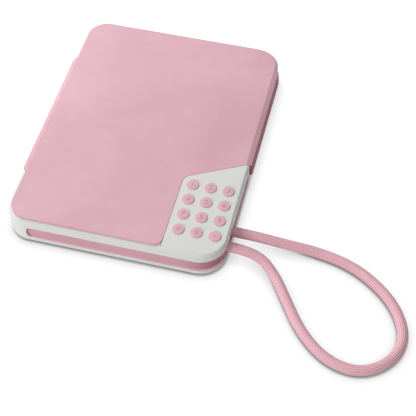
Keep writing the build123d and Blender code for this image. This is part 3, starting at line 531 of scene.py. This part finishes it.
def soft_skin(name, dark, light):
    """Imitation leather with a soft nap: broad clouds, fine grain and a few rubbed marks.

    Where the skin wraps down over the lips, painted shade makes it deeper in colour, and it is duller.
    """
    s = Surface(name)
    broad = s.spread(s.noise(11.0, 3.0, 0.5, distortion=0.5), 0.32, 0.68)
    small = s.spread(s.noise(70.0, 4.0, 0.6), 0.25, 0.75)
    tint = s.mix(broad, dark, light)
    tint = s.mix(s.product(small, 0.3), tint, linear(214, 158, 172))
    rubbed = s.noise(1.0, 2.0, 0.5, source=s.scaled((420.0, 60.0, 60.0)), distortion=0.8)
    where = s.spread(s.noise(16.0, 2.0), 0.55, 0.7)
    marks = s.product(s.spread(rubbed, 0.66, 0.74), s.product(where, 0.18))
    tint = s.mix(marks, tint, linear(240, 210, 218))
    # painted shade: the skin on the lips is darker and deeper pink
    lip_shade = s.spread(s.axis(2), *LIP_SHADE_AND_GLOSS_Z, 1.0, 0.0)
    s.colour(s.mix(lip_shade, tint, linear(182, 110, 124)))
    s.roughness(s.drift(120.0, 3.0, 0.45, 0.56))
    s.soft_edges(0.00045)
    s.bump(s.cells(1500.0), 0.000020)
    s.bump(s.noise(420.0, 4.0), 0.000018)
    gloss = s.spread(s.axis(2), *LIP_SHADE_AND_GLOSS_Z, 0.06, 0.45)
    s.link(gloss, s.shader.inputs["Specular IOR Level"])
    s.set(IOR=1.45)
    return s.material


def braid():
    """Soft yarn, only faintly shiny, with a little fuzz: a painted highlight makes the ribs lighter and
    painted shade makes it darker between them.
    """
    s = Surface("cord_braid")
    height = s.add("ShaderNodeAttribute", attribute_name="rib_height").outputs["Fac"]
    # painted highlight on the rib tops and painted shade in the grooves between the ribs
    shade = s.maths("POWER", height, 3.2)
    tint = s.mix(shade, linear(222, 162, 176), linear(250, 211, 220))
    dye = s.drift(60.0, 3.0, 0.0, 0.3)
    s.colour(s.mix(dye, tint, linear(228, 168, 182)))
    s.roughness(s.drift(700.0, 2.0, 0.55, 0.7))
    s.bump(s.noise(1800.0, 3.0), 0.00003)
    s.set(IOR=1.45, Specular_IOR_Level=0.12, Sheen_Weight=0.02, Sheen_Roughness=0.4)
    return s.material


def circuit_laminate():
    """Green board with copper tracks under the lacquer; below it the black bodies of the chips."""
    s = Surface("board_laminate")
    bands_x = s.spread(s.waves(95.0, "X"), 0.72, 0.8)
    tracks_x = s.product(bands_x, s.spread(s.noise(90.0, 1.0), 0.45, 0.5))
    bands_y = s.spread(s.waves(80.0, "Y"), 0.75, 0.83)
    tracks_y = s.product(bands_y, s.spread(s.noise(70.0, 1.0), 0.5, 0.55))
    tracks = s.maths("MAXIMUM", tracks_x, tracks_y)
    green = s.mix(tracks, (0.018, 0.12, 0.05, 1.0), (0.05, 0.24, 0.10, 1.0))
    chip = s.spread(s.axis(2), *CHIP_TO_BOARD_Z, 1.0, 0.0)
    s.colour(s.mix(chip, green, (0.018, 0.018, 0.020, 1.0)))
    s.roughness(s.drift(200.0, 2.0, 0.28, 0.42))
    s.soft_edges(0.0001)
    s.bump(tracks, 0.00003)
    s.set(IOR=1.5)
    return s.material


def cell_jacket(name, plus_y, way):
    """A plain two-colour battery sleeve: a copper-coloured band at the plus end, steel ends."""
    s = Surface(name)
    from_plus = s.product(s.maths("SUBTRACT", s.axis(1), plus_y), way)
    plus_end = s.spread(from_plus, *CELL_PLUS_TO_BAND, 1.0, 0.0)
    band = s.spread(from_plus, *CELL_BAND_TO_SLEEVE, 1.0, 0.0)
    minus_end = s.spread(from_plus, *CELL_SLEEVE_TO_END)
    steel = s.maths("MAXIMUM", plus_end, minus_end)
    worn = s.spread(s.noise(140.0, 4.0), 0.55, 0.8, 0.0, 0.5)
    sleeve = s.mix(band, (0.03, 0.035, 0.045, 1.0), (0.42, 0.20, 0.07, 1.0))
    sleeve = s.mix(worn, sleeve, (0.12, 0.12, 0.13, 1.0))
    s.colour(s.mix(steel, sleeve, (0.55, 0.55, 0.56, 1.0)))
    s.link(steel, s.shader.inputs["Metallic"])
    s.roughness(s.drift(180.0, 3.0, 0.22, 0.36))
    s.bump(s.noise(260.0, 2.0), 0.00001)
    return s.material


def wound_coil():
    """Solenoid: plated frame with a taped copper coil inside it."""
    s = Surface("solenoid_steel")
    dx = s.maths("SUBTRACT", s.axis(0), SOLENOID_X)
    dz = s.maths("SUBTRACT", s.axis(2), SOLENOID_Z)
    far = s.maths("SQRT", s.maths("ADD", s.product(dx, dx), s.product(dz, dz)))
    coil = s.spread(far, *COIL_TO_FRAME_R, 1.0, 0.0)
    turns = s.waves(1400.0, "Y", 0.4)
    steel = s.mix(s.drift(160.0, 3.0), (0.50, 0.50, 0.51, 1.0), (0.40, 0.40, 0.41, 1.0))
    wire = s.mix(turns, (0.28, 0.10, 0.03, 1.0), (0.55, 0.24, 0.08, 1.0))
    s.colour(s.mix(coil, steel, wire))
    s.roughness(s.drift(240.0, 2.0, 0.3, 0.45))
    s.soft_edges(0.0001)
    s.bump(s.product(turns, coil), 0.00005)
    s.set(Metallic=0.9)
    return s.material


def coated_board():
    """Notebook cover: card with a satin coating, a fine fibre grain and slightly rubbed areas."""
    s = Surface("notebook_board")
    fibre = s.noise(1.0, 4.0, 0.6, source=s.scaled((500.0, 160.0, 500.0)))
    tint = s.mix(s.drift(22.0, 3.0), linear(212, 156, 171), linear(219, 166, 179))
    s.colour(s.mix(s.spread(fibre, 0.55, 0.8, 0.0, 0.4), tint, linear(236, 200, 208)))
    s.roughness(s.spread(fibre, 0.3, 0.7, 0.42, 0.55))
    s.soft_edges(0.0002)
    s.bump(fibre, 0.000015)
    s.set(IOR=1.48)
    return s.material


def page_block():
    """Paper edges: the sheets show as fine uneven lines."""
    s = Surface("notebook_paper")
    sheets = s.waves(1500.0, "Z", 1.2)
    cream = s.mix(s.drift(60.0, 3.0), linear(236, 231, 220), linear(228, 222, 209))
    s.colour(s.mix(s.product(sheets, 0.35), cream, linear(196, 189, 176)))
    s.roughness(s.drift(300.0, 2.0, 0.8, 0.9))
    s.bump(sheets, 0.00006)
    return s.material


OFF_WHITE = linear(225, 226, 224)
ZINC = (0.56, 0.56, 0.57, 1.0)
skin = soft_skin("soft_skin", linear(216, 169, 180), linear(227, 182, 193))
rolled_skin = soft_skin("rolled_skin", linear(224, 160, 175), linear(232, 170, 185))
white = moulded_plastic("white_plastic", OFF_WHITE, 0.42)
plate_white = moulded_plastic("plate_plastic", OFF_WHITE, 0.42, edge=0.00003)
white_inner = moulded_plastic("inner_plastic", linear(216, 216, 214), 0.5)
core = moulded_plastic("lid_core", linear(222, 214, 215), 0.5)
pink_key = moulded_plastic("key_plastic", linear(228, 180, 191), 0.48, edge=0.0002)
pink_print = moulded_plastic("key_print", linear(186, 134, 146), 0.5, edge=0.00005)
black = moulded_plastic("buzzer_plastic", (0.02, 0.02, 0.022, 1.0), 0.5)
steel_pin = metal("pin_steel", (0.52, 0.52, 0.53, 1.0), 0.28, "Y")
steel_bolt = metal("bolt_steel", (0.60, 0.60, 0.61, 1.0), 0.25, "Y")
nickel = metal("contact_metal", (0.64, 0.63, 0.60, 1.0), 0.2, "Z")
foot = rubber("foot_rubber", linear(186, 186, 184))
milky = rubber("membrane_rubber", linear(205, 202, 196))

MATERIALS = {
    "case_shell": white,
    "keypad_plate": plate_white,
    "battery_door": white,
    "cord_anchor": white_inner,
    "lid_catch": white_inner,
    "lid_shell": core,
    "lid_skin": skin,
    "side_liner": liner_plastic(),
    "rubber_feet": foot,
    "key_membrane": milky,
    "circuit_board": circuit_laminate(),
    "board_screws": metal("board_screw_steel", ZINC, 0.3, "X"),
    "plate_screws": metal("plate_screw_steel", ZINC, 0.3, "X", PLATE_SCREWS),
    "catch_screws": metal("catch_screw_steel", ZINC, 0.3, "X", CATCH_SCREWS),
    "battery_door_screw": metal("door_screw_steel", ZINC, 0.3, "X", DOOR_SCREW),
    "buzzer": black,
    "battery_1": cell_jacket("cell_1", -0.0532, -1.0),
    "battery_2": cell_jacket("cell_2", -0.0989, 1.0),
    "battery_3": cell_jacket("cell_3", -0.0532, -1.0),
    "battery_contacts": nickel,
    "solenoid": wound_coil(),
    "latch_bolt": steel_bolt,
    "hinge_pin": steel_pin,
    "notebook_cover": coated_board(),
    "notebook_pages": page_block(),
}
for key in KEYS:
    MATERIALS[f"key_{key}"] = pink_key
for name, material in MATERIALS.items():
    nodes[name].data.materials.clear()
    nodes[name].data.materials.append(material)
cord.data.materials.append(braid())
plate_edge.data.materials.append(plate_white)
for roll in rolls:
    roll.data.materials.append(rolled_skin)


# ---- numbers printed on the keys ----
SIGNS = {"hash": "#", "star": "*"}
FIGURE_HEIGHT, SIGN_HEIGHT = 0.0039, 0.0034
FIGURE_SHARE = 0.7
PRINT_HALF_DEPTH, PRINT_THINNER, PRINT_SUNK = 0.00004, 0.00005, 0.00002


def key_number(key, glyph, height):
    """One thin printed figure, laid into the slightly domed top of its key."""
    low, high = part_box(f"key_{key}")
    text = bpy.data.curves.new(f"number_{key}", "FONT")
    text.body = glyph
    text.size = height / FIGURE_SHARE
    text.extrude = PRINT_HALF_DEPTH
    text.offset = -PRINT_THINNER
    text.resolution_u = 6
    drawing = placed("drawing", text)
    mesh = bpy.data.meshes.new_from_object(drawing.evaluated_get(bpy.context.evaluated_depsgraph_get()))
    bpy.data.objects.remove(drawing)
    points = np.array([v.co for v in mesh.vertices])
    middle = (points.min(axis=0) + points.max(axis=0)) / 2
    goal = Vector(((low[0] + high[0]) / 2, (low[1] + high[1]) / 2, KEY_TOP - PRINT_SUNK))
    mesh.transform(Matrix.Translation(goal - Vector(middle)))
    mesh.name = f"number_{key}"
    made = placed(f"number_{key}", mesh)
    mesh.materials.clear()
    mesh.materials.append(pink_print)
    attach(made, f"key_{key}_cap")


for key in KEYS:
    if key in SIGNS:
        key_number(key, SIGNS[key], SIGN_HEIGHT)
    else:
        key_number(key, key, FIGURE_HEIGHT)


# ---- light ----
def lamp(name, place, size, power):
    """A round lamp that shines on the middle of the table."""
    data = bpy.data.lights.new(name, "AREA")
    data.shape = "DISK"
    data.size = size
    data.energy = power
    aim(placed(name, data), place, -Vector(place))


lamp("key_box", (-0.50, -0.98, 0.40), 0.5, 4.75)
lamp("sheen_box", (-0.60, 0.66, 0.62), 0.6, 7.4)

# a white sky, brightest high at the front left
SKY_BRIGHT_SIDE = (-0.55, -0.60, 0.58)
SKY_DIM, SKY_BRIGHT = 0.22, 0.68
world = bpy.data.worlds.new("studio")
world.use_nodes = True
tree = world.node_tree
background = tree.nodes["Background"]
direction = tree.nodes.new("ShaderNodeTexCoord").outputs["Generated"]
slope = tree.nodes.new("ShaderNodeVectorMath")
slope.operation = "DOT_PRODUCT"
slope.inputs[1].default_value = SKY_BRIGHT_SIDE
tree.links.new(direction, slope.inputs[0])
ramp = tree.nodes.new("ShaderNodeMapRange")
ramp.inputs["From Min"].default_value = -0.6
ramp.inputs["From Max"].default_value = 1.0
ramp.inputs["To Min"].default_value = SKY_DIM
ramp.inputs["To Max"].default_value = SKY_BRIGHT
tree.links.new(slope.outputs["Value"], ramp.inputs["Value"])
tree.links.new(ramp.outputs[0], background.inputs["Strength"])
background.inputs["Color"].default_value = (1.0, 1.0, 1.0, 1.0)
scene.world = world
scene.view_settings.view_transform = "Standard"

# ---- floor: it glows white to the eye, with a painted shadow where the object stands close to it ----
# reach and strength of the floor's painted shadow: a dark rim at the object's foot and a faint wider shade
CONTACT_SHADOW_REACH, AROUND_SHADOW_REACH = 0.0025, 0.011
CONTACT_SHADOW_POWER, AROUND_SHADOW_POWER = 1.1, 0.6
floor_mesh = bpy.data.meshes.new("floor")
floor_mesh.from_pydata([(-4, -4, 0), (4, -4, 0), (4, 4, 0), (-4, 4, 0)], [], [(0, 1, 2, 3)])
floor = placed("floor", floor_mesh)
paint = Surface("floor_paint")
paint.set(Roughness=0.9, Specular_IOR_Level=0.0, Emission_Color=(1.0, 1.0, 1.0, 1.0))
rays = paint.add("ShaderNodeLightPath")
seen = paint.maths("MAXIMUM", rays.outputs["Is Camera Ray"], rays.outputs["Is Glossy Ray"])
seen = paint.maths("MAXIMUM", seen, rays.outputs["Is Transmission Ray"])
seen_paint = paint.mix(paint.drift(3.0, 3.0), linear(89, 89, 89), linear(91, 91, 91))
paint.colour(paint.mix(seen, linear(206, 206, 206), seen_paint))
contact = paint.add("ShaderNodeAmbientOcclusion")
contact.inputs["Distance"].default_value = CONTACT_SHADOW_REACH
around = paint.add("ShaderNodeAmbientOcclusion")
around.inputs["Distance"].default_value = AROUND_SHADOW_REACH
# painted shadow: the floor's white glow fades where ambient occlusion finds the object close by
glow_left_by_painted_shadow = paint.product(
    paint.maths("POWER", contact.outputs["AO"], CONTACT_SHADOW_POWER),
    paint.maths("POWER", around.outputs["AO"], AROUND_SHADOW_POWER),
)
paint.link(paint.product(seen, glow_left_by_painted_shadow), paint.shader.inputs["Emission Strength"])
floor_mesh.materials.append(paint.material)
